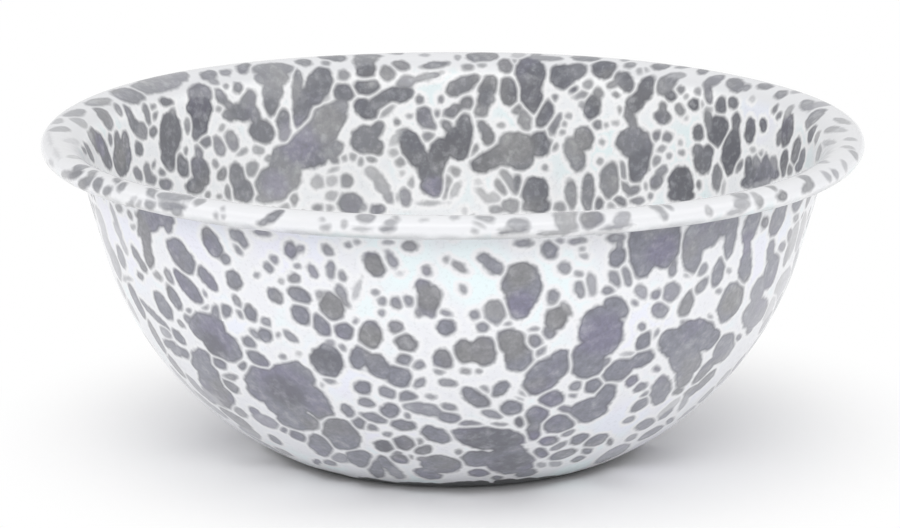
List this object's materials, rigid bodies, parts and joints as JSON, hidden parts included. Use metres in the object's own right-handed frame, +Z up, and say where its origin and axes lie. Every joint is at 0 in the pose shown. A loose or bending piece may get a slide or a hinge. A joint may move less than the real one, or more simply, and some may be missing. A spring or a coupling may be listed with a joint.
{
  "type": "cereal bowl",
  "caption": "Round enamelled-steel cereal bowl with a rolled rim, round wall and flat base, glossy white with grey splatter inside and out",
  "frame": {"origin": "middle of the flat underside, on the surface the bowl stands on", "axes": "+Z is up along the bowl's axis of revolution, X and Y lie in the plane of the table, and the picture looks along +Y"},
  "size_m": [0.152, 0.152, 0.0605],
  "materials": {
    "pressed_steel": "as-pressed low-carbon steel, fully covered by enamel",
    "ground_enamel": "thin dark bonding enamel, covered by the white coat",
    "splatter_enamel_inside": "glossy white enamel with grey splatter",
    "splatter_enamel_outside": "glossy white enamel with grey splatter"
  },
  "bodies": {
    "root": {"steel_shell": "pressed_steel", "ground_coat_inside": "ground_enamel", "ground_coat_outside": "ground_enamel", "cover_coat_inside": "splatter_enamel_inside", "cover_coat_outside": "splatter_enamel_outside"}
  },
  "joints": []
}
